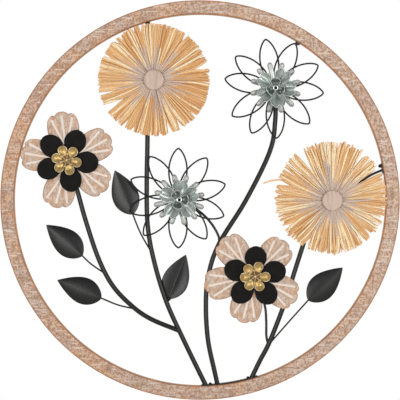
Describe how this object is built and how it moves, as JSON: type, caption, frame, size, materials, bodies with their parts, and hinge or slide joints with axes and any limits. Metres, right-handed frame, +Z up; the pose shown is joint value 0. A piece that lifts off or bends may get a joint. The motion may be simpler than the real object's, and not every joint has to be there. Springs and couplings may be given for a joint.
{
  "type": "raffia wall panel",
  "caption": "Round openwork wall panel: a whitewashed wooden ring around black steel stems with raffia flowers, wire flowers, layered blossoms and leaves.",
  "frame": {"origin": "on the ring's flat back, in the middle of its top, where the panel meets the wall", "axes": "+Z up, +Y out of the back into the wall, +X to the right as seen from the front"},
  "size_m": [0.7, 0.0276, 0.7],
  "materials": {
    "whitewashed_ring": "fine cross-hatched whitewash over brown, worn through to orange-brown along the edges",
    "whitewashed_petals": "dry brushed cream over pinkish beige, brown at the rims",
    "black_steel": "satin black powder coat",
    "leaf_steel": "soft satin black paint",
    "screw_steel": "black oxide, slightly glossy",
    "matt_black": "matt black paint",
    "zinc": "galvanised grey-green, brighter at the rims",
    "gold": "antique gold, darker in the cups",
    "raffia": "dry straw ribbon, whitewashed towards the button",
    "button_wood": "whitewashed wood with a faint upright grain"
  },
  "bodies": {
    "root": {"frame_ring": "whitewashed_ring", "base_strip": "black_steel", "side_plate": "black_steel", "base_screw_left": "screw_steel", "base_screw_right": "screw_steel", "side_screw": "screw_steel", "petal_screw": "screw_steel", "stem_left_raffia": "black_steel", "stem_left_blossom": "black_steel", "stem_wire_flower": "black_steel", "stem_right_raffia": "black_steel", "rod_low_blossom": "black_steel", "rod_low_wire": "black_steel", "rod_right_raffia": "black_steel", "leaf_stalk_1": "black_steel", "leaf_stalk_2": "black_steel", "leaf_stalk_3": "black_steel", "leaf_stalk_5": "black_steel", "leaf_1": "leaf_steel", "leaf_2": "leaf_steel", "leaf_3": "leaf_steel", "leaf_4": "leaf_steel", "leaf_5": "leaf_steel", "high_wire_star_back": "black_steel", "high_wire_star_front": "black_steel", "high_zinc_lobes": "zinc", "high_zinc_cup": "zinc", "high_zinc_rosette": "zinc", "high_eyelet": "zinc", "low_wire_star_back": "black_steel", "low_wire_star_front": "black_steel", "low_zinc_lobes": "zinc", "low_zinc_cup": "zinc", "low_zinc_rosette": "zinc", "low_eyelet": "zinc", "left_blossom_petals": "whitewashed_petals", "left_blossom_black": "matt_black", "left_blossom_gold": "gold", "left_blossom_stamens": "gold", "low_blossom_petals": "whitewashed_petals", "low_blossom_black": "matt_black", "low_blossom_gold": "gold", "low_blossom_stamens": "gold", "left_raffia_fan": "raffia", "left_raffia_button": "button_wood", "right_raffia_fan": "raffia", "right_raffia_button": "button_wood"}
  },
  "joints": []
}
